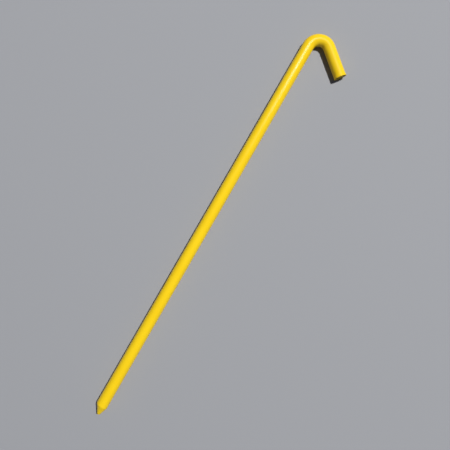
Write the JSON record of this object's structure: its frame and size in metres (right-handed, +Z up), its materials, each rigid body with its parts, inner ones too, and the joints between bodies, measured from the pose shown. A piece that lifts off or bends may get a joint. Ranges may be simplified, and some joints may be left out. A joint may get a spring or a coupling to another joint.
{
  "type": "tent stake",
  "caption": "Straight round steel ground stake with a point at one end and a bent hook at the other, under a glossy yellow coat.",
  "frame": {"origin": "on the shank's axis, where the straight shank ends and the bend starts", "axes": "+X along the shank from the point towards the hook, +Z up and square to the hook's plane, with the hook turned back on the -Y side; the stake lies flat"},
  "size_m": [0.4571, 0.0552, 0.0124],
  "materials": {
    "bare_steel": "hot-rolled, dull grey",
    "yellow_coat": "smooth gloss coat"
  },
  "bodies": {
    "root": {"steel_rod": "bare_steel", "yellow_coating": "yellow_coat"}
  },
  "joints": []
}
